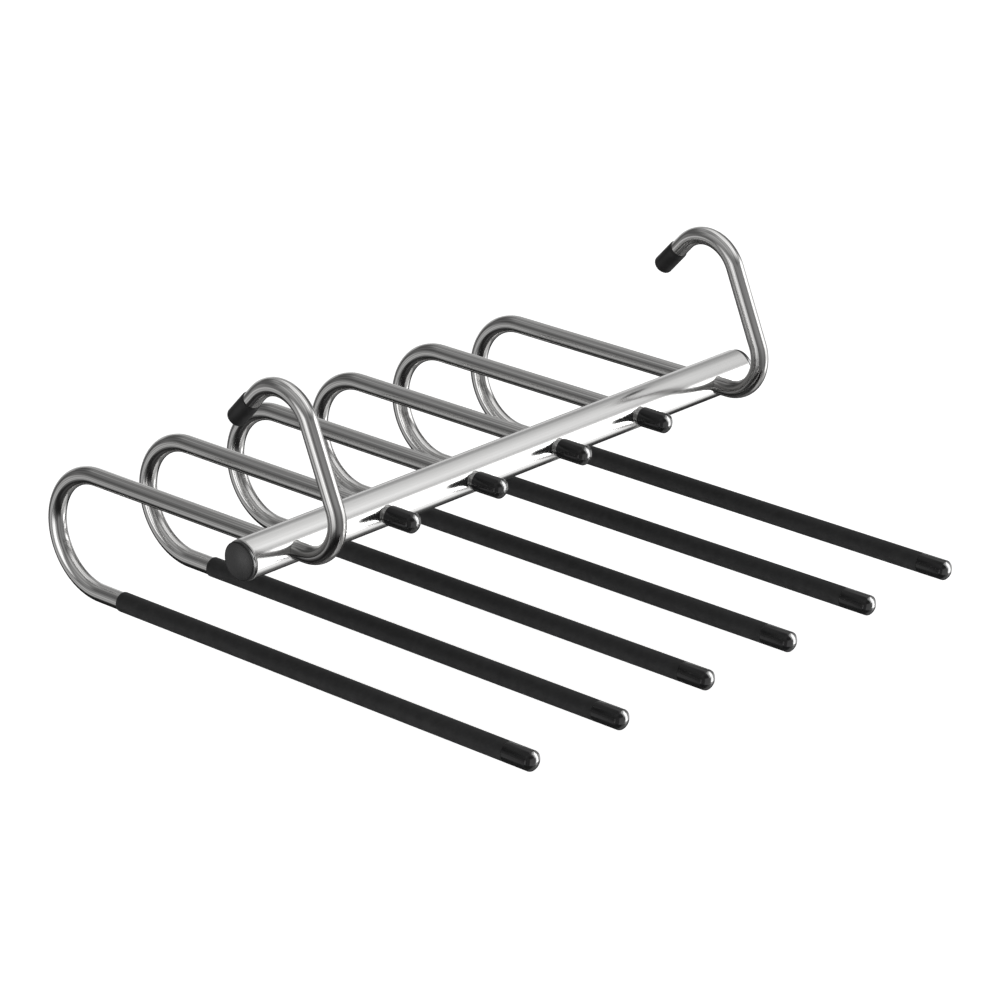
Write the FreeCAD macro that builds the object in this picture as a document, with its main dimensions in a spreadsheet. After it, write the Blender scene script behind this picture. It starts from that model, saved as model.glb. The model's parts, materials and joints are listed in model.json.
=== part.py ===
import FreeCAD, Part
import Sketcher
import math
import os

# Trouser hanger with six swinging bars on one beam tube.
# Frame: X runs along the beam, the bars' free tips point to -Y, Z is up.
# The origin lies on the axis of the wardrobe rail, half-way between the two hooks.

os.makedirs("parts", exist_ok=True)
doc = FreeCAD.newDocument("TrouserHanger")

# Driving sizes in millimetres and degrees.
SIZES = [
    ("tube_diameter", 20.0),
    ("tube_wall", 1.0),
    ("tube_edge", 0.8),
    ("end_overhang", 25.8),
    ("arm_pitch", 60.0),
    ("rod_diameter", 9.0),
    ("rod_wall", 0.8),
    ("leg_drop", 60.6),
    ("upper_leg_reach", 127.3),
    ("lower_leg_reach", 157.4),
    ("stub_gap", 1.6),
    ("hook_foot", 16.4),
    ("hook_foot_radius", 20.0),
    ("hook_lean", 22.5),
    ("hook_shank", 40.6),
    ("hook_crown_radius", 20.0),
    ("hook_tip_angle", 46.5),
    ("hook_tip_length", 21.6),
    ("sleeve_wall", 0.5),
    ("sleeve_setback", 15.4),
    ("sleeve_edge", 0.25),
    ("cap_length", 17.3),
    ("cap_wall", 0.5),
    ("cap_dome", 2.6),
    ("cap_floor", 2.1),
    ("cap_lip", 0.25),
    ("collar_diameter", 13.0),
    ("collar_edge", 0.6),
    ("plug_flange", 2.2),
    ("plug_crown", 0.6),
    ("plug_corner", 0.8),
    ("plug_back", 0.5),
    ("plug_stem", 11.0),
    ("plug_core_wall", 1.6),
    ("plug_rib_height", 1.2),
    ("plug_rib_width", 1.6),
    ("plug_rib_pitch", 3.4),
    ("running_clearance", 0.1),
    ("fit_clearance", 0.05),
    ("end_play", 0.2),
]

sheet = doc.addObject("Spreadsheet::Sheet", "Sizes")
for row, (alias, value) in enumerate(SIZES, start=1):
    sheet.set(f"A{row}", alias)
    sheet.set(f"B{row}", str(value))
    sheet.setAlias(f"B{row}", alias)
doc.recompute()


def size(alias):
    return float(sheet.get(alias))


# Expressions for lengths that follow from the driving sizes.
ROD_R = "Sizes.rod_diameter / 2"
HALF_SPAN = "(2.5 * Sizes.arm_pitch)"
HALF_TUBE = f"({HALF_SPAN} + Sizes.end_overhang)"
BORE_R = "(Sizes.tube_diameter / 2 - Sizes.tube_wall)"
TUBE_ROUND = "min(Sizes.tube_edge; 0.9 * Sizes.tube_wall)"
FIT_R = f"({ROD_R} + Sizes.fit_clearance)"
CAP_R = f"({FIT_R} + Sizes.cap_wall)"
CAP_DEPTH = "(Sizes.cap_length - Sizes.cap_floor)"
TIP_MOUTH = f"(-Sizes.lower_leg_reach - Sizes.fit_clearance + {CAP_DEPTH})"
STUB_MOUTH = "(-Sizes.tube_diameter / 2 - Sizes.stub_gap)"
STUB_END = f"({STUB_MOUTH} - {CAP_DEPTH} + Sizes.fit_clearance)"
LEAN_SIN = "sin(Sizes.hook_lean * 1 deg)"
LEAN_COS = "cos(Sizes.hook_lean * 1 deg)"
FOOT_LESS_CROWN = "(Sizes.hook_foot_radius - Sizes.hook_crown_radius)"
BEAM_Y = (f"(Sizes.hook_foot + {FOOT_LESS_CROWN} * {LEAN_COS}"
          f" - Sizes.hook_shank * {LEAN_SIN})")
BEAM_Z = (f"(-Sizes.hook_foot_radius - {FOOT_LESS_CROWN} * {LEAN_SIN}"
          f" - Sizes.hook_shank * {LEAN_COS})")


def new_body(name):
    body = doc.addObject("PartDesign::Body", name)
    body.Label = name
    return body


def origin_feature(body, role):
    return next(f for f in body.Origin.OriginFeatures if f.Role == role)


def new_sketch(body, name, role):
    sketch = body.newObject("Sketcher::SketchObject", name)
    sketch.AttachmentSupport = [(origin_feature(body, role), "")]
    sketch.MapMode = "FlatFace"
    return sketch


def place(body, x_expression, y_offset="0", z_offset="0"):
    body.setExpression("Placement.Base.x", x_expression)
    body.setExpression("Placement.Base.y", f"{BEAM_Y} + {y_offset}")
    body.setExpression("Placement.Base.z", f"{BEAM_Z} + {z_offset}")


def bind(sketch, constraint, expression):
    index = sketch.addConstraint(constraint)
    sketch.setExpression(f"Constraints[{index}]", expression)
    return index


def centred_circle(sketch, expression):
    radius = number(expression)
    circle = Part.Circle(FreeCAD.Vector(0, 0, 0), FreeCAD.Vector(0, 0, 1), radius)
    index = sketch.addGeometry(circle, False)
    sketch.addConstraint(Sketcher.Constraint("Coincident", index, 3, -1, 1))
    bind(sketch, Sketcher.Constraint("Radius", index, radius), expression)


# Closed half-section: every corner is held by its two coordinates from the sketch origin.
def section(sketch, corners, bulges=None):
    bulges = bulges or {}
    points = [FreeCAD.Vector(x[0], y[0], 0) for x, y in corners]
    count = len(points)
    edges = []
    for i in range(count):
        start = points[i]
        end = points[(i + 1) % count]
        if i in bulges:
            middle = bulges[i]
            shape = Part.Arc(start, FreeCAD.Vector(middle[0], middle[1], 0), end)
        else:
            shape = Part.LineSegment(start, end)
        edges.append(sketch.addGeometry(shape, False))
    heads = [start_vertex(sketch, edges[i], points[i]) for i in range(count)]
    tails = [start_vertex(sketch, edges[i], points[(i + 1) % count]) for i in range(count)]
    for i in range(count):
        following = (i + 1) % count
        joint = Sketcher.Constraint("Coincident", edges[i], tails[i], edges[following], heads[following])
        sketch.addConstraint(joint)
    for i, (x, y) in enumerate(corners):
        hold(sketch, edges[i], heads[i], "DistanceX", x)
        hold(sketch, edges[i], heads[i], "DistanceY", y)
    return edges


def start_vertex(sketch, edge, point):
    first = sketch.getPoint(edge, 1)
    return 1 if first.distanceToPoint(point) < 1e-6 else 2


def hold(sketch, edge, vertex, kind, coordinate):
    value, expression = coordinate
    if expression == "0":
        axis = -2 if kind == "DistanceX" else -1
        sketch.addConstraint(Sketcher.Constraint("PointOnObject", edge, vertex, axis))
    else:
        bind(sketch, Sketcher.Constraint(kind, -1, 1, edge, vertex, value), expression)


def revolve(body, sketch, name, axis_role):
    feature = body.newObject("PartDesign::Revolution", name)
    feature.Profile = sketch
    feature.ReferenceAxis = (origin_feature(body, axis_role), [""])
    feature.Angle = 360.0
    return feature


def number(expression):
    return float(sheet.evalExpression(expression.replace("Sizes.", "")))


def coordinate(expression):
    return (number(expression), expression)


# Beam: a round tube with six cross holes for the arms.
def build_beam():
    body = new_body("beam_tube")
    ring = new_sketch(body, "tube_ring", "YZ_Plane")
    centred_circle(ring, "Sizes.tube_diameter / 2")
    centred_circle(ring, BORE_R)
    tube = body.newObject("PartDesign::Pad", "tube_pad")
    tube.Profile = ring
    tube.SideType = "Symmetric"
    tube.setExpression("Length", f"2 * {HALF_TUBE}")
    doc.recompute()

    rims = [f"Edge{i + 1}" for i, edge in enumerate(tube.Shape.Edges) if is_outer_rim(edge)]
    deburr = body.newObject("PartDesign::Fillet", "tube_deburr")
    deburr.Base = (tube, rims)
    deburr.setExpression("Radius", TUBE_ROUND)
    doc.recompute()

    hole = new_sketch(body, "arm_hole", "XZ_Plane")
    radius = f"({ROD_R} + Sizes.running_clearance)"
    spot = Part.Circle(FreeCAD.Vector(-number(HALF_SPAN), 0, 0),
                       FreeCAD.Vector(0, 0, 1), number(radius))
    index = hole.addGeometry(spot, False)
    hole.addConstraint(Sketcher.Constraint("PointOnObject", index, 3, -1))
    reach = Sketcher.Constraint("DistanceX", index, 3, -1, 1, number(HALF_SPAN))
    bind(hole, reach, HALF_SPAN)
    bind(hole, Sketcher.Constraint("Radius", index, number(radius)), radius)
    drill = body.newObject("PartDesign::Pocket", "arm_hole_cut")
    drill.Profile = hole
    drill.SideType = "Symmetric"
    drill.Type = "ThroughAll"
    doc.recompute()
    cut_volume = deburr.Shape.Volume - drill.Shape.Volume

    row = body.newObject("PartDesign::LinearPattern", "arm_hole_row")
    row.Originals = [drill]
    row.Direction = (origin_feature(body, "X_Axis"), [""])
    row.setExpression("Length", f"2 * {HALF_SPAN}")
    row.Occurrences = 6
    body.Tip = row
    doc.recompute()
    whole_cut = deburr.Shape.Volume - row.Shape.Volume
    if cut_volume <= 0 or abs(whole_cut - 6 * cut_volume) > 0.01 * whole_cut:
        raise RuntimeError("the cross holes of the beam are not all cut")
    place(body, "0")
    return body


def is_outer_rim(edge):
    return isinstance(edge.Curve, Part.Circle) and edge.Curve.Radius > number(BORE_R) + 1e-6


# End plug: a crowned flange on the tube's end and a hollow ribbed stem in its bore.
def build_plug(name, side):
    body = new_body(name)
    flange_r = f"(Sizes.tube_diameter / 2 - {TUBE_ROUND} / 2)"
    core_r = f"({BORE_R} - Sizes.fit_clearance - Sizes.plug_rib_height)"
    well_r = f"({core_r} - Sizes.plug_core_wall)"
    corner_r = f"({flange_r} - Sizes.plug_corner)"
    back_r = f"({flange_r} - Sizes.plug_back)"
    crown_x = "(Sizes.plug_flange + Sizes.plug_crown)"
    corner_x = "(Sizes.plug_flange - Sizes.plug_corner)"
    profile = new_sketch(body, "plug_section", "XZ_Plane")
    names = [
        (crown_x, "0"),
        ("Sizes.plug_flange", corner_r),
        (corner_x, flange_r),
        ("Sizes.plug_back", flange_r),
        ("0", back_r),
        ("0", core_r),
        ("-Sizes.plug_stem", core_r),
        ("-Sizes.plug_stem", well_r),
        ("0", well_r),
        ("0", "0"),
    ]
    corners = [(coordinate(x), coordinate(r)) for x, r in names]
    rise = size("plug_crown")
    half_chord = number(corner_r)
    crown_radius = (half_chord ** 2 + rise ** 2) / (2 * rise)
    arc_middle = number(crown_x) - crown_radius + math.sqrt(crown_radius ** 2 - (half_chord / 2) ** 2)
    round_step = size("plug_corner") * (1 - math.sqrt(0.5))
    back_step = size("plug_back") * (1 - math.sqrt(0.5))
    bulges = {
        0: (arc_middle, half_chord / 2),
        1: (size("plug_flange") - round_step, number(flange_r) - round_step),
        3: (back_step, number(flange_r) - back_step),
    }
    edges = section(profile, corners, bulges)
    bind(profile, Sketcher.Constraint("Radius", edges[0], crown_radius),
         f"(pow({corner_r}; 2) + pow(Sizes.plug_crown; 2)) / (2 * Sizes.plug_crown)")
    bind(profile, Sketcher.Constraint("Radius", edges[1], size("plug_corner")), "Sizes.plug_corner")
    bind(profile, Sketcher.Constraint("Radius", edges[3], size("plug_back")), "Sizes.plug_back")
    stem = revolve(body, profile, "plug_turned", "X_Axis")
    doc.recompute()

    rib_r = f"({BORE_R} - Sizes.fit_clearance)"
    first_x = "(-Sizes.plug_rib_pitch / 2)"
    ridge_x = f"({first_x} - Sizes.plug_rib_width / 4)"
    last_x = f"({first_x} - Sizes.plug_rib_width)"
    root_r = f"({core_r} - Sizes.plug_core_wall / 2)"
    rib = new_sketch(body, "plug_rib", "XZ_Plane")
    names = [(first_x, root_r), (first_x, rib_r), (ridge_x, rib_r), (last_x, core_r), (last_x, root_r)]
    section(rib, [(coordinate(x), coordinate(r)) for x, r in names])
    ring = revolve(body, rib, "plug_rib_turned", "X_Axis")
    doc.recompute()
    row = body.newObject("PartDesign::LinearPattern", "plug_rib_row")
    row.Originals = [ring]
    row.Direction = (origin_feature(body, "X_Axis"), [""])
    row.Reversed = True
    row.setExpression("Length", "2 * Sizes.plug_rib_pitch")
    row.Occurrences = 3
    body.Tip = row
    doc.recompute()
    if row.Shape.Volume <= ring.Shape.Volume or ring.Shape.Volume <= stem.Shape.Volume:
        raise RuntimeError("the ribs of the end plug are missing")
    if side < 0:
        body.Placement.Rotation = FreeCAD.Rotation(FreeCAD.Vector(0, 0, 1), 180)
    place(body, f"{side} * {HALF_TUBE}")
    return body


# Chain of tangent lines and arcs in the YZ plane, swept with the rod's ring section.
def build_rod(name, slot, hooked):
    body = new_body(name)
    drop = size("leg_drop")
    reach = size("upper_leg_reach")
    path = new_sketch(body, "rod_path", "YZ_Plane")
    lower = path.addGeometry(segment((-size("lower_leg_reach"), -drop), (reach, -drop)), False)
    middle = FreeCAD.Vector(reach + drop / 2, -drop / 2, 0)
    turn = Part.Arc(FreeCAD.Vector(reach, -drop, 0), middle, FreeCAD.Vector(reach, 0, 0))
    bend = path.addGeometry(turn, False)
    front = number(STUB_END)
    if hooked:
        front = -size("hook_foot")
    upper = path.addGeometry(segment((reach, 0), (front, 0)), False)
    edges = [lower, bend, upper]
    if hooked:
        edges += hook_edges(path)
    link(path, edges)
    path.addConstraint(Sketcher.Constraint("Horizontal", lower))
    path.addConstraint(Sketcher.Constraint("PointOnObject", upper, 1, -1))
    path.addConstraint(Sketcher.Constraint("PointOnObject", upper, 2, -1))
    bind(path, Sketcher.Constraint("DistanceX", -1, 1, upper, 1, reach), "Sizes.upper_leg_reach")
    bind(path, Sketcher.Constraint("DistanceX", -1, 1, upper, 2, front),
         "-Sizes.hook_foot" if hooked else STUB_END)
    bind(path, Sketcher.Constraint("DistanceX", lower, 1, -1, 1, size("lower_leg_reach")),
         "Sizes.lower_leg_reach")
    bind(path, Sketcher.Constraint("Radius", bend, drop / 2), "Sizes.leg_drop / 2")
    if hooked:
        hold_hook(path, edges[3:])

    ring = new_sketch(body, "rod_ring", "XZ_Plane")
    ring.setExpression("AttachmentOffset.Base.y", "-Sizes.leg_drop")
    ring.setExpression("AttachmentOffset.Base.z", "Sizes.lower_leg_reach")
    centred_circle(ring, ROD_R)
    centred_circle(ring, f"({ROD_R} - Sizes.rod_wall)")
    doc.recompute()
    sweep = body.newObject("PartDesign::AdditivePipe", "rod_sweep")
    sweep.Profile = ring
    sweep.Spine = (path, [f"Edge{i + 1}" for i in range(len(edges))])
    sweep.Mode = "Standard"
    doc.recompute()
    place(body, f"{slot - 2.5} * Sizes.arm_pitch")
    return body


def segment(start, end):
    return Part.LineSegment(FreeCAD.Vector(start[0], start[1], 0), FreeCAD.Vector(end[0], end[1], 0))


# Hook above the beam: foot bend, leaning shank, crown bend over the rail, straight tip.
def hook_edges(path):
    lean = math.radians(size("hook_lean"))
    slope = math.radians(size("hook_tip_angle"))
    foot = (-size("hook_foot"), 0.0)
    foot_r = size("hook_foot_radius")
    crown_r = size("hook_crown_radius")
    foot_c = (foot[0], foot_r)
    low = (foot_c[0] - foot_r * math.cos(lean), foot_c[1] + foot_r * math.sin(lean))
    foot_mid = (foot_c[0] - foot_r * math.cos((lean - math.pi / 2) / 2),
                foot_c[1] + foot_r * math.sin((lean - math.pi / 2) / 2))
    shank = size("hook_shank")
    high = (low[0] + shank * math.sin(lean), low[1] + shank * math.cos(lean))
    crown_c = (high[0] + crown_r * math.cos(lean), high[1] - crown_r * math.sin(lean))
    ahead = (crown_c[0] + crown_r * math.sin(slope), crown_c[1] + crown_r * math.cos(slope))
    half = (math.pi - lean + math.pi / 2 - slope) / 2
    crown_mid = (crown_c[0] + crown_r * math.cos(half), crown_c[1] + crown_r * math.sin(half))
    tip = size("hook_tip_length")
    end = (ahead[0] + tip * math.cos(slope), ahead[1] - tip * math.sin(slope))
    vectors = [FreeCAD.Vector(p[0], p[1], 0) for p in (foot, foot_mid, low, high, crown_mid, ahead)]
    return [
        path.addGeometry(Part.Arc(vectors[0], vectors[1], vectors[2]), False),
        path.addGeometry(segment(low, high), False),
        path.addGeometry(Part.Arc(vectors[3], vectors[4], vectors[5]), False),
        path.addGeometry(segment(ahead, end), False),
    ]


def link(path, edges):
    for near, far in zip(edges, edges[1:]):
        best = min(((path.getPoint(near, a).distanceToPoint(path.getPoint(far, b)), a, b)
                    for a in (1, 2) for b in (1, 2)))
        path.addConstraint(Sketcher.Constraint("Tangent", near, best[1], far, best[2]))


def hold_hook(path, edges):
    foot, shank, crown, tip = edges
    bind(path, Sketcher.Constraint("Radius", foot, size("hook_foot_radius")), "Sizes.hook_foot_radius")
    bind(path, Sketcher.Constraint("Radius", crown, size("hook_crown_radius")), "Sizes.hook_crown_radius")
    bind(path, Sketcher.Constraint("Distance", shank, size("hook_shank")), "Sizes.hook_shank")
    bind(path, Sketcher.Constraint("Distance", tip, size("hook_tip_length")), "Sizes.hook_tip_length")
    upright = math.radians(90 - size("hook_lean"))
    bind(path, Sketcher.Constraint("Angle", -1, 1, shank, 1, upright), "(90 - Sizes.hook_lean) * 1 deg")
    downhill = math.radians(-size("hook_tip_angle"))
    bind(path, Sketcher.Constraint("Angle", -1, 1, tip, 1, downhill), "-Sizes.hook_tip_angle * 1 deg")


# Sleeve: a thin tube with eased rims along the lower leg.
def build_sleeve(name, slot):
    body = new_body(name)
    rear = "(Sizes.upper_leg_reach - Sizes.sleeve_setback)"
    front = f"({TIP_MOUTH} + Sizes.fit_clearance)"
    outer = f"({FIT_R} + Sizes.sleeve_wall)"
    eased = f"({outer} - Sizes.sleeve_edge)"
    profile = new_sketch(body, "sleeve_section", "YZ_Plane")
    names = [
        (rear, FIT_R),
        (rear, eased),
        (f"({rear} - Sizes.sleeve_edge)", outer),
        (f"({front} + Sizes.sleeve_edge)", outer),
        (front, eased),
        (front, FIT_R),
    ]
    section(profile, [(coordinate(y), coordinate(r)) for y, r in names])
    revolve(body, profile, "sleeve_turned", "Y_Axis")
    place(body, f"{slot - 2.5} * Sizes.arm_pitch", z_offset="-Sizes.leg_drop")
    return body


# Cap: a blind domed thimble, mouth at its own origin, dome towards its own -Y.
def build_cap(name):
    body = new_body(name)
    rim = "(-Sizes.cap_length + Sizes.cap_dome)"
    lip_r = f"({CAP_R} - Sizes.cap_lip)"
    profile = new_sketch(body, "cap_section", "YZ_Plane")
    names = [
        ("0", FIT_R),
        ("0", lip_r),
        ("-Sizes.cap_lip", CAP_R),
        (rim, CAP_R),
        ("-Sizes.cap_length", "0"),
        (f"-{CAP_DEPTH}", "0"),
        (f"-{CAP_DEPTH}", FIT_R),
    ]
    corners = [(coordinate(y), coordinate(r)) for y, r in names]
    rise = size("cap_dome")
    half_chord = number(CAP_R)
    dome_radius = (half_chord ** 2 + rise ** 2) / (2 * rise)
    arc_middle = -size("cap_length") + dome_radius - math.sqrt(dome_radius ** 2 - (half_chord / 2) ** 2)
    edges = section(profile, corners, {3: (arc_middle, half_chord / 2)})
    bind(profile, Sketcher.Constraint("Radius", edges[3], dome_radius),
         f"(pow({CAP_R}; 2) + pow(Sizes.cap_dome; 2)) / (2 * Sizes.cap_dome)")
    revolve(body, profile, "cap_turned", "Y_Axis")
    return body


# Collar: pressed on the rod inside the beam, its two ends bear on the bore's wall.
def build_collar(name, slot):
    body = new_body(name)
    outer = "(Sizes.collar_diameter / 2)"
    half = f"(sqrt(pow({BORE_R}; 2) - pow({outer}; 2)) - Sizes.end_play)"
    eased = f"({outer} - Sizes.collar_edge)"
    profile = new_sketch(body, "collar_section", "YZ_Plane")
    names = [
        (half, FIT_R),
        (half, eased),
        (f"({half} - Sizes.collar_edge)", outer),
        (f"(-{half} + Sizes.collar_edge)", outer),
        (f"-{half}", eased),
        (f"-{half}", FIT_R),
    ]
    section(profile, [(coordinate(y), coordinate(r)) for y, r in names])
    revolve(body, profile, "collar_turned", "Y_Axis")
    place(body, f"{slot - 2.5} * Sizes.arm_pitch")
    return body


# The hook tip's cap points down the tip's slope, its floor against the rod's end.
def place_hook_cap(body, slot):
    slope_sin = "sin(Sizes.hook_tip_angle * 1 deg)"
    slope_cos = "cos(Sizes.hook_tip_angle * 1 deg)"
    along = f"(Sizes.hook_tip_length + Sizes.fit_clearance - {CAP_DEPTH})"
    body.setExpression("Placement.Rotation.Axis.x", "1")
    body.setExpression("Placement.Rotation.Axis.y", "0")
    body.setExpression("Placement.Rotation.Axis.z", "0")
    body.setExpression("Placement.Rotation.Angle", "(180 - Sizes.hook_tip_angle) * 1 deg")
    body.setExpression("Placement.Base.x", f"{slot - 2.5} * Sizes.arm_pitch")
    body.setExpression("Placement.Base.y", f"Sizes.hook_crown_radius * {slope_sin} + {along} * {slope_cos}")
    body.setExpression("Placement.Base.z", f"Sizes.hook_crown_radius * {slope_cos} - {along} * {slope_sin}")


parts = [build_beam(), build_plug("end_plug_left", -1), build_plug("end_plug_right", 1)]
for slot in range(6):
    mark = slot + 1
    x_of_arm = f"{slot - 2.5} * Sizes.arm_pitch"
    outermost = slot in (0, 5)
    side = "left" if slot == 0 else "right"
    parts.append(build_rod(f"hook_arm_{side}" if outermost else f"arm_rod_{mark}", slot, outermost))
    parts.append(build_sleeve(f"sleeve_{mark}", slot))
    parts.append(build_collar(f"collar_{mark}", slot))
    tip_cap = build_cap(f"tip_cap_{mark}")
    place(tip_cap, x_of_arm, TIP_MOUTH, "-Sizes.leg_drop")
    parts.append(tip_cap)
    if outermost:
        hook_cap = build_cap(f"hook_cap_{side}")
        place_hook_cap(hook_cap, slot)
        parts.append(hook_cap)
    else:
        stub_cap = build_cap(f"stub_cap_{mark}")
        place(stub_cap, x_of_arm, STUB_MOUTH)
        parts.append(stub_cap)
doc.recompute()

for item in doc.Objects:
    if "Invalid" in item.State or "Error" in item.State:
        raise RuntimeError(f"{item.Label} did not compute")
for part in parts:
    if part.Shape.isNull() or not part.Shape.isValid() or len(part.Shape.Solids) != 1:
        raise RuntimeError(f"{part.Label} has no sound solid")
for part in parts:
    part.Shape.exportStep(f"parts/{part.Label}.step")
    print(part.Label, round(part.Shape.Volume, 1))
print("pieces", len(parts))
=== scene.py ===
import json
import math

import bmesh
import bpy
from mathutils import Matrix, Vector

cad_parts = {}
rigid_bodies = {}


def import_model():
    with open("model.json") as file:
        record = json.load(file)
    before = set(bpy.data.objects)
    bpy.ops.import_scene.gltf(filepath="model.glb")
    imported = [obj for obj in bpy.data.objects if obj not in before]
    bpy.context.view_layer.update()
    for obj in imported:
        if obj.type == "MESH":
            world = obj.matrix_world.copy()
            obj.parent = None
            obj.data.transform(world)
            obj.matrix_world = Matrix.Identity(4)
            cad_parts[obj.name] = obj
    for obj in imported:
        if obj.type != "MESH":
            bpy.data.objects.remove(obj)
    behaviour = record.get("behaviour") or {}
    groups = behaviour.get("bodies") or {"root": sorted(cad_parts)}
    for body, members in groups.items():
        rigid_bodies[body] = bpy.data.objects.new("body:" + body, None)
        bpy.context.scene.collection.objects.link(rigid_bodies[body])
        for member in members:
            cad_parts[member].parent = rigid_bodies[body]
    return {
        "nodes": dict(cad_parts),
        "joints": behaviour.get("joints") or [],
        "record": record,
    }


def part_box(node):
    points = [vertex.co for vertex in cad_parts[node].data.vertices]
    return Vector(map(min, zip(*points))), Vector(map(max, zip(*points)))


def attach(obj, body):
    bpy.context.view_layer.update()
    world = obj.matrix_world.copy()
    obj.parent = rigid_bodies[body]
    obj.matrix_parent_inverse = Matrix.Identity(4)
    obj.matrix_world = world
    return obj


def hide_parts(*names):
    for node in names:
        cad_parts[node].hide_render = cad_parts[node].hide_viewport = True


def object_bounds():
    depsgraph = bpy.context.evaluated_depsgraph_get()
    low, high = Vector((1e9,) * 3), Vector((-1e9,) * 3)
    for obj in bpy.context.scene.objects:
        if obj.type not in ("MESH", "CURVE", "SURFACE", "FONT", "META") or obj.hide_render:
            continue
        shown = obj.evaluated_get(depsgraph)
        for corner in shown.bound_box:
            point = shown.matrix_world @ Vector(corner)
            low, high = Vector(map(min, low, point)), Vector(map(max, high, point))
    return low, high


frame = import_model()
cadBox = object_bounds()
record = frame["record"]
bodyOf = {node: body for body, nodes in record["behaviour"]["bodies"].items() for node in nodes}
hinges = [Vector(joint["pos_m"]) for joint in frame["joints"]]  # where each arm crosses the beam
beamAxis = Vector((0, hinges[0].y, hinges[0].z))
print("frame loaded:", len(frame["nodes"]), "nodes,", len(hinges), "arms")


# Shader wiring: one socket that can be used in sums.
class Wire:
    def __init__(self, tree, socket=None):
        self.tree = tree
        self.socket = socket

    def node(self, kind, settings=None, sockets=None, out=0):
        made = self.tree.nodes.new(kind)
        for key, value in (settings or {}).items():
            setattr(made, key, value)
        for key, value in (sockets or {}).items():
            if isinstance(value, Wire):
                self.tree.links.new(value.socket, made.inputs[key])
            else:
                made.inputs[key].default_value = value
        return Wire(self.tree, made.outputs[out])

    def math(self, operation, first, second=0.0):
        return self.node("ShaderNodeMath", {"operation": operation}, {0: first, 1: second})

    def __add__(self, other):
        return self.math("ADD", self, other)

    def __radd__(self, other):
        return self.math("ADD", other, self)

    def __sub__(self, other):
        return self.math("SUBTRACT", self, other)

    def __rsub__(self, other):
        return self.math("SUBTRACT", other, self)

    def __mul__(self, other):
        return self.math("MULTIPLY", self, other)

    def __rmul__(self, other):
        return self.math("MULTIPLY", other, self)

    def __pow__(self, other):
        return self.math("POWER", self, other)

    def ease(self, low, high):
        limits = {"Value": self, "From Min": low, "From Max": high}
        return self.node("ShaderNodeMapRange", {"interpolation_type": "SMOOTHSTEP"}, limits)

    def noise(self, where, scale, detail=2.0, rough=0.5):
        sockets = {"Vector": where, "Scale": scale, "Detail": detail, "Roughness": rough}
        return self.node("ShaderNodeTexNoise", None, sockets)

    def stretch(self, where, scale):
        return self.node("ShaderNodeMapping", None, {"Vector": where, "Scale": scale})

    def blend(self, share, first, second):
        return self.node("ShaderNodeMix", {"data_type": "RGBA"}, {0: share, 6: first, 7: second}, 2)

    def bump(self, height, strength, distance):
        sockets = {"Height": height, "Strength": strength, "Distance": distance}
        return self.node("ShaderNodeBump", None, sockets)


def newFinish(name):
    material = bpy.data.materials.new(name)
    material.use_nodes = True
    tree = material.node_tree
    tree.nodes.clear()
    shader = tree.nodes.new("ShaderNodeBsdfPrincipled")
    output = tree.nodes.new("ShaderNodeOutputMaterial")
    tree.links.new(shader.outputs["BSDF"], output.inputs["Surface"])
    return material, Wire(tree), shader.inputs


def feed(pen, inputs, values):
    for name, value in values.items():
        if isinstance(value, Wire):
            pen.tree.links.new(value.socket, inputs[name])
        else:
            inputs[name].default_value = value


# Polished steel, drawn lengthwise: fine lines, broad bands and smudges.
steelLook = {
    "lines": {"scale": 1.0, "detail": 1.5, "rough": 0.6},
    "lineEase": (0.35, 0.7),
    "lineRoughness": 0.05,
    "lineDepth": 0.00003,
    "bands": {"scale": 1.0, "detail": 2.0},
    "bandEase": (0.4, 0.7),
    "smudges": {"scale": 34.0, "detail": 3.0, "rough": 0.6},
    "smudgeEase": (0.45, 0.75),
    "smudgeRoughness": 0.03,
}
tubeLook = {
    "lay": ("ShaderNodeTexCoord", None, None, "Object"),
    "lineGrain": (4.0, 900.0, 900.0),
    "bandGrain": (9.0, 60.0, 60.0),
    "light": (0.824, 0.82, 0.813, 1.0),
    "dull": (0.585, 0.58, 0.572, 1.0),
    "lineWear": 0.12,
    "bandWear": 0.12,
    "roughness": 0.16,
    "lineBump": 0.2,
}
rodLook = {
    "lay": ("ShaderNodeAttribute", {"attribute_name": "lay"}, None, "Vector"),  # place on the rod unbent
    "lineGrain": (1100.0, 1100.0, 6.0),
    "bandGrain": (360.0, 360.0, 3.0),
    "light": (0.955, 0.95, 0.942, 1.0),
    "dull": (0.505, 0.5, 0.493, 1.0),
    "lineWear": 1.0,
    "bandWear": 0.4,
    "roughness": 0.12,
    "lineBump": 0.6,
}
# Painted shade darkens the steel's colour at the tight foot of the hooks; at is the way along the rod.
footShade = {"at": 0.538, "half": 0.028, "soft": 0.014, "share": 0.55, "dark": (0.203, 0.2, 0.195, 1.0)}


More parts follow.
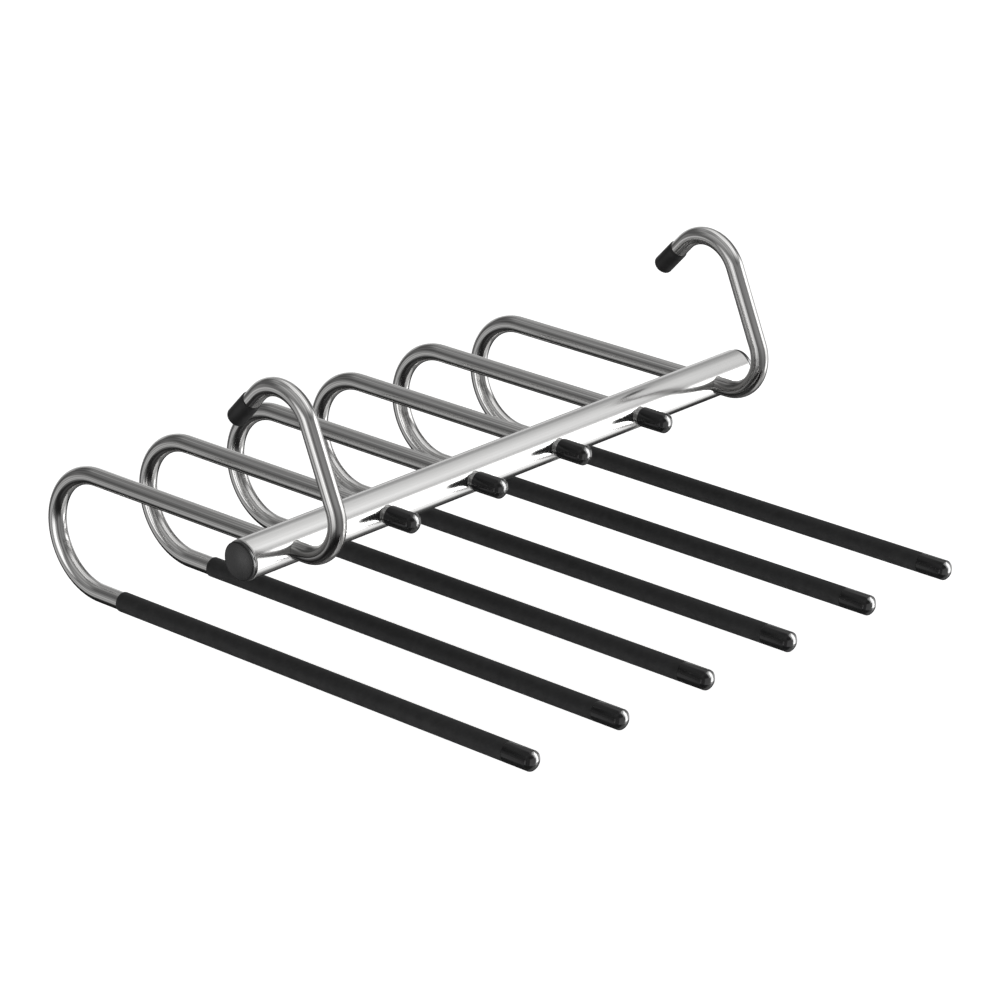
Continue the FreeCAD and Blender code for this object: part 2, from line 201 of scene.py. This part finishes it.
def steelFinish(name, look, paintedShade=None):
    material, pen, inputs = newFinish(name)
    lay = pen.node(*look["lay"])
    lines = pen.noise(pen.stretch(lay, look["lineGrain"]), **steelLook["lines"])
    bands = pen.noise(pen.stretch(lay, look["bandGrain"]), **steelLook["bands"])
    smudges = pen.noise(lay, **steelLook["smudges"]).ease(*steelLook["smudgeEase"])
    worn = (lines.ease(*steelLook["lineEase"]) * look["lineWear"]
            + bands.ease(*steelLook["bandEase"]) * look["bandWear"])
    colour = pen.blend(worn, look["light"], look["dull"])
    # Painted shade: the base colour is darkened around the hook foot bend, where the real rod looks darker
    # from dark reflections.
    if paintedShade:
        along = pen.node("ShaderNodeSeparateXYZ", None, {0: lay}, "Z")
        away = pen.math("ABSOLUTE", along - paintedShade["at"])
        bendShade = 1.0 - away.ease(paintedShade["half"] - paintedShade["soft"], paintedShade["half"])
        colour = pen.blend(bendShade * paintedShade["share"], colour, paintedShade["dark"])
    feed(pen, inputs, {
        "Base Color": colour,
        "Metallic": 1.0,
        "Roughness": (look["roughness"] + worn * steelLook["lineRoughness"]
                      + smudges * steelLook["smudgeRoughness"]),
        "Normal": pen.bump(lines, look["lineBump"], steelLook["lineDepth"]),
    })
    return material


# Non-slip sleeve: fine pits and a faint cloudiness.
sleeveLook = {
    "deep": (0.017, 0.017, 0.0175, 1.0),
    "pale": (0.026, 0.026, 0.0265, 1.0),
    "roughness": 0.62,
    "specular": 0.35,
    "pits": {"scale": 1900.0, "detail": 3.0, "rough": 0.6},
    "pitRoughness": 0.1,
    "pitBump": 0.35,
    "pitDepth": 0.00008,
    "clouds": {"scale": 210.0, "detail": 3.0, "rough": 0.6},
    "cloudEase": (0.3, 0.75),
    "cloudRoughness": 0.12,
}


def sleeveFinish():
    material, pen, inputs = newFinish("sleeveRubber")
    place = pen.node("ShaderNodeTexCoord", out="Object")
    pits = pen.noise(place, **sleeveLook["pits"])
    clouds = pen.noise(place, **sleeveLook["clouds"])
    feed(pen, inputs, {
        "Base Color": pen.blend(clouds.ease(*sleeveLook["cloudEase"]),
                                sleeveLook["deep"], sleeveLook["pale"]),
        "Roughness": (sleeveLook["roughness"] + clouds * sleeveLook["cloudRoughness"]
                      - pits * sleeveLook["pitRoughness"]),
        "Specular IOR Level": sleeveLook["specular"],
        "Normal": pen.bump(pits, sleeveLook["pitBump"], sleeveLook["pitDepth"]),
    })
    return material


# Glossy moulding of the tip and stub caps.
capLook = {
    "deep": (0.007, 0.007, 0.0072, 1.0),
    "pale": (0.012, 0.012, 0.0123, 1.0),
    "roughness": 0.09,
    "swirl": {"scale": 480.0, "detail": 2.0},
    "swirlRoughness": 0.04,
    "swirlBump": 0.12,
    "swirlDepth": 0.00004,
    "scuffGrain": (900.0, 160.0, 900.0),
    "scuffs": {"scale": 1.0, "detail": 3.0, "rough": 0.65},
    "scuffEase": (0.52, 0.75),
    "scuffRoughness": 0.1,
}


def capFinish():
    material, pen, inputs = newFinish("capPlastic")
    place = pen.node("ShaderNodeTexCoord", out="Object")
    swirl = pen.noise(place, **capLook["swirl"])
    scuffs = pen.noise(pen.stretch(place, capLook["scuffGrain"]), **capLook["scuffs"])
    feed(pen, inputs, {
        "Base Color": pen.blend(swirl, capLook["deep"], capLook["pale"]),
        "Roughness": (capLook["roughness"] + scuffs.ease(*capLook["scuffEase"]) * capLook["scuffRoughness"]
                      + swirl * capLook["swirlRoughness"]),
        "Normal": pen.bump(swirl, capLook["swirlBump"], capLook["swirlDepth"]),
    })
    return material


# Mouldings with a grain: matt hook caps, satin end plugs and the collars inside the beam.
grainLook = {
    "grain": {"detail": 3.0, "rough": 0.6},
    "grainRoughness": 0.12,
    "grainDepth": 0.00006,
    "clouds": {"scale": 160.0, "detail": 2.0},
    "cloudEase": (0.3, 0.7),
    "cloudRoughness": 0.06,
}
hookCapLook = {"deep": (0.006, 0.006, 0.0062, 1.0), "pale": (0.011, 0.011, 0.0113, 1.0), "roughness": 0.42,
               "grainScale": 1500.0, "grainBump": 0.25}
plugLook = {"deep": (0.01, 0.01, 0.0103, 1.0), "pale": (0.015, 0.015, 0.0153, 1.0), "roughness": 0.22,
            "grainScale": 1300.0, "grainBump": 0.01}
collarLook = {"deep": (0.72, 0.71, 0.66, 1.0), "pale": (0.82, 0.81, 0.77, 1.0), "roughness": 0.45,
              "grainScale": 900.0, "grainBump": 0.25}


def grainFinish(name, look):
    material, pen, inputs = newFinish(name)
    place = pen.node("ShaderNodeTexCoord", out="Object")
    grain = pen.noise(place, look["grainScale"], **grainLook["grain"])
    clouds = pen.noise(place, **grainLook["clouds"])
    feed(pen, inputs, {
        "Base Color": pen.blend(clouds.ease(*grainLook["cloudEase"]), look["deep"], look["pale"]),
        "Roughness": (look["roughness"] + grain * grainLook["grainRoughness"]
                      - clouds * grainLook["cloudRoughness"]),
        "Normal": pen.bump(grain, look["grainBump"], grainLook["grainDepth"]),
    })
    return material


tubeSteel = steelFinish("tubeSteel", tubeLook)
rodSteel = steelFinish("rodSteel", rodLook, footShade)
sleeveRubber = sleeveFinish()
capPlastic = capFinish()
hookRubber = grainFinish("hookRubber", hookCapLook)
plugPlastic = grainFinish("plugPlastic", plugLook)
collarNylon = grainFinish("collarNylon", collarLook)
print("finishes made:", len(bpy.data.materials))

meshSpec = {"crease": math.radians(30.0), "weld": 1e-7, "ringSlack": 1e-6}


def showPiece(name, bm, material, node):
    bmesh.ops.recalc_face_normals(bm, faces=bm.faces)
    mesh = bpy.data.meshes.new(name)
    bm.to_mesh(mesh)
    bm.free()
    mesh.shade_smooth()
    mesh.set_sharp_from_angle(angle=meshSpec["crease"])
    mesh.materials.append(material)
    piece = bpy.data.objects.new(name, mesh)
    bpy.context.scene.collection.objects.link(piece)
    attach(piece, bodyOf[node])
    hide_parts(node)
    return piece


# Points of an arc in an outline: along the axis, out from the axis.
def arcPoints(centre, radius, start, end, steps):
    turns = [math.radians(start + (end - start) * i / steps) for i in range(steps + 1)]
    return [(centre[0] + radius * math.cos(t), centre[1] + radius * math.sin(t)) for t in turns]


# Turns an outline about the local X axis.
def turnedShape(outline, closed, sides):
    bm = bmesh.new()
    verts = [bm.verts.new((along, 0.0, out)) for along, out in outline]
    for first, second in zip(verts, verts[1:]):
        bm.edges.new((first, second))
    if closed:
        bm.edges.new((verts[-1], verts[0]))
    profile = bm.verts[:] + bm.edges[:]
    bmesh.ops.spin(bm, geom=profile, cent=(0, 0, 0), axis=(1, 0, 0), angle=math.tau, steps=sides,
                   use_merge=True)
    bmesh.ops.remove_doubles(bm, verts=bm.verts, dist=meshSpec["weld"])
    return bm


def softenRing(bm, along, out, offset, segments):
    def onRing(vert):
        outBy = math.hypot(vert.co.y, vert.co.z) - out
        return max(abs(vert.co.x - along), abs(outBy)) < meshSpec["ringSlack"]
    ring = [edge for edge in bm.edges if all(onRing(vert) for vert in edge.verts)]
    bmesh.ops.bevel(bm, geom=ring, offset=offset, offset_type="OFFSET", segments=segments, profile=0.5,
                    affect="EDGES", material=-1)


def aim(bm, origin, direction):
    turn = Vector(direction).to_track_quat("X", "Z").to_matrix().to_4x4()
    bmesh.ops.transform(bm, matrix=Matrix.Translation(origin) @ turn, verts=bm.verts)


# Beam tube with rounded ends and six cross holes.
beamSpec = {"wall": 0.001, "edge": 0.0008, "holeSlack": 0.0001, "sides": 192, "holeSides": 96,
            "ringStep": 0.002, "rings": 4, "edgeSteps": 6, "drillReach": 3.0, "wallSlack": 0.0004}
tubeLow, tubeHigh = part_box("beam_tube")
tubeR = (tubeHigh.z - tubeLow.z) / 2
rodLow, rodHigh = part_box("arm_rod_2")
rodR = (rodHigh.x - rodLow.x) / 2


def makeBeam():
    half = (tubeHigh.x - tubeLow.x) / 2
    bore = tubeR - beamSpec["wall"]
    edge = beamSpec["edge"]
    right = arcPoints((half - edge, tubeR - edge), edge, 90, 0, beamSpec["edgeSteps"])
    left = [(-along, out) for along, out in reversed(right)]
    rings = range(-beamSpec["rings"], beamSpec["rings"] + 1)
    stops = [hinge.x + ring * beamSpec["ringStep"] for hinge in hinges for ring in rings]
    outside = left + [(along, tubeR) for along in stops] + right
    inside = [(half, bore)] + [(along, bore) for along in reversed(stops)] + [(-half, bore)]
    bm = turnedShape(outside + inside, True, beamSpec["sides"])
    aim(bm, beamAxis, (1, 0, 0))
    beam = showPiece("beamTube", bm, tubeSteel, "beam_tube")
    beam.data = drilled(beam)
    roundNormals(beam.data, half - edge)


def drilled(beam):
    drill = bmesh.new()
    radius = rodR + beamSpec["holeSlack"]
    reach = beamSpec["drillReach"] * tubeR
    upright = Matrix.Rotation(math.radians(90), 4, "X")
    for hinge in hinges:
        bmesh.ops.create_cone(drill, cap_ends=True, segments=beamSpec["holeSides"], radius1=radius,
                              radius2=radius, depth=reach, matrix=Matrix.Translation(hinge) @ upright)
    cutterMesh = bpy.data.meshes.new("crossHoles")
    drill.to_mesh(cutterMesh)
    drill.free()
    cutter = bpy.data.objects.new("crossHoles", cutterMesh)
    bpy.context.scene.collection.objects.link(cutter)
    cut = beam.modifiers.new("crossHoles", "BOOLEAN")
    cut.operation = "DIFFERENCE"
    cut.solver = "EXACT"
    cut.object = cutter
    bpy.context.view_layer.update()
    cutBeam = beam.evaluated_get(bpy.context.evaluated_depsgraph_get())
    mesh = bpy.data.meshes.new_from_object(cutBeam)
    beam.modifiers.clear()
    bpy.data.objects.remove(cutter)
    bpy.data.meshes.remove(cutterMesh)
    return mesh


# Outer wall and bore keep the round tube's own normals beside the holes.
def roundNormals(mesh, straight):
    mesh.shade_smooth()
    mesh.set_sharp_from_angle(angle=meshSpec["crease"])
    normals = [Vector((0, 0, 0))] * len(mesh.loops)
    slack = beamSpec["wallSlack"] * tubeR
    for face in mesh.polygons:
        spokes = [mesh.vertices[i].co - beamAxis for i in face.vertices]
        if any(abs(spoke.x) > straight + slack for spoke in spokes):
            continue
        for wall, side in ((tubeR, 1.0), (tubeR - beamSpec["wall"], -1.0)):
            if all(abs(math.hypot(s.y, s.z) - wall) < slack for s in spokes):
                for loop, spoke in zip(face.loop_indices, spokes):
                    normals[loop] = Vector((0, spoke.y, spoke.z)).normalized() * side
    mesh.normals_split_custom_set(normals)


makeBeam()
print("beam made")


# Bent rods: a ring is pushed along runs and spun through bends.
rodSpec = {"wall": 0.0008, "sides": 64, "runStep": 0.02, "bendStep": 3.0}
hookSpec = {"footRadius": 0.020, "lean": 22.5, "tipAngle": 46.5, "tipLength": 0.0216}
capSpec = {"floor": 0.0021, "wall": 0.0005, "dome": 0.0026, "lip": 0.00025, "crease": 0.0005, "sides": 96,
           "domeSteps": 14, "lipSteps": 4, "creaseSteps": 4}
fitSlack = 0.00005
legDrop = rodHigh.z - rodLow.z - 2 * rodR
bendY = rodHigh.y - rodR - legDrop / 2
stubLow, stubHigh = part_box("stub_cap_2")
capLength = stubHigh.y - stubLow.y
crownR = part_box("hook_arm_left")[1].z - rodR
hookSide = {0: "left", len(hinges) - 1: "right"}


def newRing(geometry):
    verts = {item for item in geometry if isinstance(item, bmesh.types.BMVert)}
    edges = [item for item in geometry if isinstance(item, bmesh.types.BMEdge)]
    return verts, [edge for edge in edges if all(vert in verts for vert in edge.verts)]


def sweptRod(armX, start, route):
    bm = bmesh.new()
    lay = bm.verts.layers.float_vector.new("lay")
    point = Vector((armX, start[0], start[1]))
    upright = Matrix.Translation(point) @ Matrix.Rotation(math.radians(90), 4, "X")
    for radius in (rodR, rodR - rodSpec["wall"]):
        bmesh.ops.create_circle(bm, segments=rodSpec["sides"], radius=radius, matrix=upright)
    for vert in bm.verts:
        vert[lay] = (vert.co.x - armX, vert.co.z - point.z, 0.0)
    edges = bm.edges[:]
    bmesh.ops.bridge_loops(bm, edges=edges)
    heading = 0.0  # in the YZ plane, from +Y towards +Z
    travelled = 0.0
    for size, turn in route:
        ahead = Vector((0, math.cos(heading), math.sin(heading)))
        length = size * abs(math.radians(turn)) if turn else size
        steps = math.ceil(abs(turn) / rodSpec["bendStep"] if turn else size / rodSpec["runStep"])
        side = math.copysign(size, turn)
        centre = point + Vector((0, -ahead.z, ahead.y)) * side
        for step in range(steps):
            old = {vert for edge in edges for vert in edge.verts}
            if turn:
                made = bmesh.ops.spin(bm, geom=edges, cent=centre, axis=(1, 0, 0), use_merge=False,
                                      angle=math.radians(turn) / steps, steps=1)["geom_last"]
            else:
                made = bmesh.ops.extrude_edge_only(bm, edges=edges)["geom"]
            verts, edges = newRing(made)
            if not turn:
                bmesh.ops.translate(bm, verts=list(verts), vec=ahead * (size / steps))
            travelled += length / steps
            for vert in verts:
                behind = next(e.other_vert(vert) for e in vert.link_edges if e.other_vert(vert) in old)
                vert[lay] = (behind[lay].x, behind[lay].y, travelled)
        if turn:
            heading += math.radians(turn)
            point = centre + Matrix.Rotation(math.radians(turn), 3, "X") @ (point - centre)
        else:
            point = point + ahead * size
    bmesh.ops.bridge_loops(bm, edges=edges)
    return bm, point, heading


def makeRod(index):
    hinge = hinges[index]
    start = (rodLow.y, hinge.z - legDrop)
    lean = math.radians(hookSpec["lean"])
    route = [(bendY - rodLow.y, 0.0), (legDrop / 2, 180.0)]
    if index in hookSide:
        name = f"hookArm{index + 1}"
        node = f"hook_arm_{hookSide[index]}"
        footR = hookSpec["footRadius"]
        shank = (-hinge.z - footR - (footR - crownR) * math.sin(lean)) / math.cos(lean)
        foot = hinge.y - (footR - crownR) * math.cos(lean) + shank * math.sin(lean)
        route += [(bendY - hinge.y + foot, 0.0), (footR, -90.0 - hookSpec["lean"]), (shank, 0.0),
                  (crownR, hookSpec["lean"] - 90.0 - hookSpec["tipAngle"]), (hookSpec["tipLength"], 0.0)]
    else:
        name = f"armRod{index + 1}"
        node = f"arm_rod_{index + 1}"
        stubEnd = stubLow.y + capSpec["floor"] + fitSlack
        route += [(bendY - stubEnd, 0.0)]
    bm, tip, heading = sweptRod(hinge.x, start, route)
    showPiece(name, bm, rodSteel, node)
    return tip, Vector((0, math.cos(heading), math.sin(heading)))


# Domed thimble: mouth at the local origin, dome along local +X.
def makeCap(name, node, material, mouth, direction):
    fitR = rodR + fitSlack
    capR = fitR + capSpec["wall"]
    depth = capLength - capSpec["floor"]
    rim = capLength - capSpec["dome"]
    domeR = (capR ** 2 + capSpec["dome"] ** 2) / (2 * capSpec["dome"])
    rimAngle = math.degrees(math.asin(capR / domeR))
    dome = arcPoints((capLength - domeR, 0.0), domeR, rimAngle, 0.0, capSpec["domeSteps"])
    dome[-1] = (capLength, 0.0)
    lipR = capSpec["lip"]
    lip = arcPoints((lipR, capR - lipR), lipR, 180, 90, capSpec["lipSteps"])
    bm = turnedShape([(depth, 0.0), (depth, fitR), (0.0, fitR)] + lip + dome, False, capSpec["sides"])
    softenRing(bm, rim, capR, capSpec["crease"], capSpec["creaseSteps"])
    aim(bm, mouth, direction)
    showPiece(name, bm, material, node)


# Sleeve on the lower leg, rims eased.
sleeveSpec = {"edge": 0.00035, "edgeSteps": 4, "sides": 96}


def makeSleeve(index):
    node = f"sleeve_{index + 1}"
    low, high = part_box(node)
    outer = (high.x - low.x) / 2
    inner = rodR + fitSlack
    edge = sleeveSpec["edge"]
    length = high.y - low.y
    front = arcPoints((edge, outer - edge), edge, 180, 90, sleeveSpec["edgeSteps"])
    rear = [(length - along, out) for along, out in reversed(front)]
    bm = turnedShape([(0.0, inner)] + front + rear + [(length, inner)], True, sleeveSpec["sides"])
    aim(bm, Vector((hinges[index].x, low.y, hinges[index].z - legDrop)), (0, 1, 0))
    sleeve = showPiece(f"sleeve{index + 1}", bm, sleeveRubber, node)
    sleeve.visible_glossy = False  # their hair-thin images drown in the glare on the beam


for index, hinge in enumerate(hinges):
    number = index + 1
    tip, direction = makeRod(index)
    makeSleeve(index)
    tipMouth = Vector((hinge.x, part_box(f"tip_cap_{number}")[1].y, hinge.z - legDrop))
    makeCap(f"tipCap{number}", f"tip_cap_{number}", capPlastic, tipMouth, (0, -1, 0))
    if index in hookSide:
        hookMouth = tip + direction * (fitSlack - capLength + capSpec["floor"])
        makeCap(f"hookCap{number}", f"hook_cap_{hookSide[index]}", hookRubber, hookMouth, direction)
    else:
        stubMouth = Vector((hinge.x, stubHigh.y, hinge.z))
        makeCap(f"stubCap{number}", f"stub_cap_{number}", capPlastic, stubMouth, (0, -1, 0))
    collarFinish = frame["nodes"][f"collar_{number}"].data.materials
    collarFinish.clear()
    collarFinish.append(collarNylon)
print("arms made:", len(hinges))


# End plugs: crowned flange and ribbed hollow stem.
plugSpec = {"crown": 0.0006, "corner": 0.0008, "back": 0.0005, "coreWall": 0.0016, "ribHeight": 0.0012,
            "ribWidth": 0.0016, "ribCrest": 0.0004, "ribPitch": 0.0034, "firstRib": 0.0017, "ribs": 3,
            "sides": 128, "faceSteps": 10, "cornerSteps": 5, "backSteps": 4}
plugLow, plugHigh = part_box("end_plug_right")


def makePlug(side, end, node):
    flangeR = tubeR - beamSpec["edge"] / 2
    ribR = tubeR - beamSpec["wall"] - fitSlack
    coreR = ribR - plugSpec["ribHeight"]
    wellR = coreR - plugSpec["coreWall"]
    corner = plugSpec["corner"]
    cornerR = flangeR - corner  # where the crowned face ends
    crown = plugSpec["crown"]
    faceR = (cornerR ** 2 + crown ** 2) / (2 * crown)
    lean = math.degrees(math.asin(cornerR / faceR))
    flange = plugHigh.x - tubeHigh.x - crown
    stem = tubeHigh.x - plugLow.x
    back = plugSpec["back"]
    outline = [(flange + crown, 0.0)]
    outline += arcPoints((flange + crown - faceR, 0.0), faceR, 0.0, lean, plugSpec["faceSteps"])[1:]
    outline += arcPoints((flange - corner, cornerR), corner, 0.0, 90.0, plugSpec["cornerSteps"])[1:]
    outline += arcPoints((back, flangeR - back), back, 90.0, 180.0, plugSpec["backSteps"])
    outline += [(0.0, coreR)]
    for rib in range(plugSpec["ribs"]):
        start = -plugSpec["firstRib"] - plugSpec["ribPitch"] * rib
        outline += [(start, coreR), (start, ribR), (start - plugSpec["ribCrest"], ribR),
                    (start - plugSpec["ribWidth"], coreR)]
    outline += [(-stem, coreR), (-stem, wellR), (0.0, wellR), (0.0, 0.0)]
    bm = turnedShape(outline, False, plugSpec["sides"])
    aim(bm, Vector((end, beamAxis.y, beamAxis.z)), (side, 0, 0))
    showPiece("endPlugLeft" if side < 0 else "endPlugRight", bm, plugPlastic, node)


makePlug(-1, tubeLow.x, "end_plug_left")
makePlug(1, tubeHigh.x, "end_plug_right")
print("plugs made")


# Pale floor below the hanging part, lit up to plain white; the metal does not mirror it.
floorSpec = {"below": 0.05, "half": 30.0, "colour": (0.9, 0.9, 0.9, 1.0), "roughness": 0.85, "grain": 40.0,
             "grainRoughness": 0.1, "glowColour": (1.0, 1.0, 1.0, 1.0), "glow": 0.72}


def makeFloor():
    bm = bmesh.new()
    level = cadBox[0].z - floorSpec["below"]
    bmesh.ops.create_grid(bm, x_segments=1, y_segments=1, size=floorSpec["half"],
                          matrix=Matrix.Translation((0, 0, level)))
    mesh = bpy.data.meshes.new("paleFloor")
    bm.to_mesh(mesh)
    bm.free()
    material, pen, inputs = newFinish("paleFloor")
    grain = pen.noise(pen.node("ShaderNodeTexCoord", out="Object"), floorSpec["grain"])
    feed(pen, inputs, {
        "Base Color": floorSpec["colour"],
        "Roughness": floorSpec["roughness"] + grain * floorSpec["grainRoughness"],
        "Specular IOR Level": 0.0,
        "Emission Color": floorSpec["glowColour"],
        "Emission Strength": floorSpec["glow"],
    })
    mesh.materials.append(material)
    floor = bpy.data.objects.new("paleFloor", mesh)
    bpy.context.scene.collection.objects.link(floor)
    floor.visible_glossy = False
    floor.visible_shadow = False


# Studio surround: grey room, bright spot and soft boxes, in degrees of turn from -Y to +X and of rise.
roomSpec = {"base": 0.105, "low": 0.018, "from": -37, "to": -31}
flagSpec = {"at": (147, -29), "half": (19, 9), "soft": (8, 6), "power": 1.0}  # a black card low behind
spotSpec = {"at": (46, 42), "power": 0.36, "fall": 10.0}
softBoxes = {
    "right": {"at": (56, -8), "half": (20, 26), "soft": (8, 9), "power": 2.0},
    "rightCore": {"at": (51, -27), "half": (8, 9), "soft": (6, 6), "power": 2.0},
    "rightSkirt": {"at": (30, -8), "half": (9, 24), "soft": (10, 10), "power": 0.22},
    "rightTop": {"at": (52, 18), "half": (15, 15), "soft": (6, 8), "power": 0.28},
    "rightBrow": {"at": (54, 37), "half": (13, 6), "soft": (8, 6), "power": 0.17},
    "rightLip": {"at": (40, 45), "half": (12, 10), "soft": (8, 8), "power": 0.14},
    "rightFoot": {"at": (63, -41), "half": (16, 7), "soft": (10, 6), "power": 0.5},
    "rightFloor": {"at": (50, -62), "half": (34, 30), "soft": (20, 14), "power": 0.55},
    "backFloor": {"at": (122, -68), "half": (30, 20), "soft": (16, 12), "power": 0.17},
    "farRight": {"at": (98, -12), "half": (18, 14), "soft": (8, 8), "power": 0.5},
    "backdrop": {"at": (150, -2), "half": (23, 16), "soft": (14, 10), "power": 0.36},
    "backRight": {"at": (136, 15), "half": (22, 21), "soft": (12, 12), "power": 0.25},
    "left": {"at": (-94, -8), "half": (19, 18), "soft": (8, 6), "power": 0.72},
    "leftHalo": {"at": (-82, -3), "half": (25, 20), "soft": (14, 10), "power": 0.47},
    "backLeft": {"at": (-140, -17), "half": (18, 14), "soft": (12, 8), "power": 0.37},
    "backLeftTop": {"at": (-140, 4), "half": (20, 9), "soft": (12, 10), "power": 0.15},
    "backLeftFoot": {"at": (-136, -37), "half": (13, 8), "soft": (10, 8), "power": 0.08},
    "upperLeft": {"at": (-78, 54), "half": (56, 35), "soft": (16, 20), "power": 0.15},
    "front": {"at": (-14, -7), "half": (32, 29), "soft": (8, 14), "power": 0.155},
    "ceiling": {"at": (80, 63), "half": (70, 26), "soft": (34, 18), "power": 0.41},
    "ceilingBack": {"at": (133, 46), "half": (15, 10), "soft": (8, 8), "power": 0.14},
    "ceilingTop": {"at": (80, 75), "half": (70, 20), "soft": (34, 14), "power": 0.24},
    "zenith": {"at": (0, 90), "half": (200, 51), "soft": (20, 26), "power": 0.16},
    "skyRing": {"at": (0, 48), "half": (200, 8), "soft": (20, 8), "power": 0.065},
    "leftFloor": {"at": (-90, -80), "half": (75, 22), "soft": (24, 12), "power": 0.042},
}


def pointing(turn, rise):
    a, e = math.radians(turn), math.radians(rise)
    return Vector((math.sin(a) * math.cos(e), -math.cos(a) * math.cos(e), math.sin(e)))


def boxGlow(pen, turn, rise, box):
    glow = box["power"]
    for way, centre, half, soft in zip((turn, rise), box["at"], box["half"], box["soft"]):
        away = pen.math("ABSOLUTE", way - centre)
        glow = glow * (1.0 - away.ease(half - soft / 2, half + soft / 2))
    return glow


def makeRoom():
    world = bpy.data.worlds.new("studio")
    world.use_nodes = True
    bpy.context.scene.world = world
    tree = world.node_tree
    tree.nodes.clear()
    pen = Wire(tree)
    way = pen.node("ShaderNodeTexCoord", out="Generated")
    parts = tree.nodes.new("ShaderNodeSeparateXYZ")
    tree.links.new(way.socket, parts.inputs[0])
    x, y, z = (Wire(tree, output) for output in parts.outputs)
    turn = pen.math("ARCTAN2", x, 0.0 - y) * math.degrees(1.0)
    rise = pen.math("ARCSINE", z) * math.degrees(1.0)
    wall = rise.ease(roomSpec["from"], roomSpec["to"]) * (roomSpec["base"] - roomSpec["low"])
    light = roomSpec["low"] + wall * (1.0 - boxGlow(pen, turn, rise, flagSpec))
    toward = pen.node("ShaderNodeVectorMath", {"operation": "DOT_PRODUCT"},
                      {0: way, 1: pointing(*spotSpec["at"])}, "Value")
    light = light + pen.math("MAXIMUM", toward, 0.0) ** spotSpec["fall"] * spotSpec["power"]
    for box in softBoxes.values():
        light = light + boxGlow(pen, turn, rise, box)
    background = tree.nodes.new("ShaderNodeBackground")
    output = tree.nodes.new("ShaderNodeOutputWorld")
    tree.links.new(light.socket, background.inputs["Color"])
    tree.links.new(background.outputs[0], output.inputs["Surface"])


# Strong lamps behind the soft boxes, for the gloss of the mouldings alone.
lampDistance = 1.7
lampGroups = {"mouldings": ("tipCap", "stubCap", "endPlug"), "plugs": ("endPlug",)}
glossLamps = {
    "glossLamp": {"at": (48, 3), "half": (14, 30), "radiance": 14.0, "lights": "mouldings"},
    "glossFill": {"at": (42, 26), "half": (20, 20), "radiance": 5.0, "lights": "mouldings"},
    "glossRim": {"at": (82, 0), "half": (18, 28), "radiance": 1.2, "lights": "mouldings"},
    "glossFront": {"at": (5, -15), "half": (25, 25), "radiance": 0.8, "lights": "mouldings"},
    "plugGlow": {"at": (-124, -19), "half": (5, 5), "radiance": 1.4, "lights": "plugs"},
}


def makeLamp(name, spec, receivers):
    data = bpy.data.lights.new(name, "AREA")
    data.shape = "RECTANGLE"
    data.size, data.size_y = (2 * lampDistance * math.tan(math.radians(half)) for half in spec["half"])
    data.energy = spec["radiance"] * math.pi * data.size * data.size_y
    lamp = bpy.data.objects.new(name, data)
    way = pointing(*spec["at"])
    lamp.location = way * lampDistance
    lamp.rotation_euler = way.to_track_quat("Z", "Y").to_euler()
    lamp.visible_diffuse = False
    lamp.visible_camera = False
    bpy.context.scene.collection.objects.link(lamp)
    lamp.light_linking.receiver_collection = receivers


def makeLamps():
    groups = {name: bpy.data.collections.new(name) for name in lampGroups}
    for name, starts in lampGroups.items():
        for piece in bpy.data.objects:
            if piece.name.startswith(starts):
                groups[name].objects.link(piece)
    for name, spec in glossLamps.items():
        makeLamp(name, spec, groups[spec["lights"]])


# Camera at the photograph's place.
cameraSpec = {"spot": (-1.431215, -1.333942, 0.695766), "turn": -46.948, "rise": 21.598, "roll": 0.2014,
              "lens": 155.38, "sensor": 36.0, "far": 100.0}


def makeCamera():
    data = bpy.data.cameras.new("camera")
    data.sensor_width = cameraSpec["sensor"]
    data.lens = cameraSpec["lens"]
    data.clip_end = cameraSpec["far"]
    camera = bpy.data.objects.new("camera", data)
    ahead = -pointing(cameraSpec["turn"], cameraSpec["rise"])
    level = ahead.to_track_quat("-Z", "Y").to_matrix().to_4x4()
    roll = Matrix.Rotation(-math.radians(cameraSpec["roll"]), 4, "Z")
    camera.matrix_world = Matrix.Translation(cameraSpec["spot"]) @ level @ roll
    bpy.context.scene.collection.objects.link(camera)
    bpy.context.scene.camera = camera


makeFloor()
makeRoom()
makeLamps()
makeCamera()
bpy.context.scene.view_settings.view_transform = "Standard"
print("studio made")
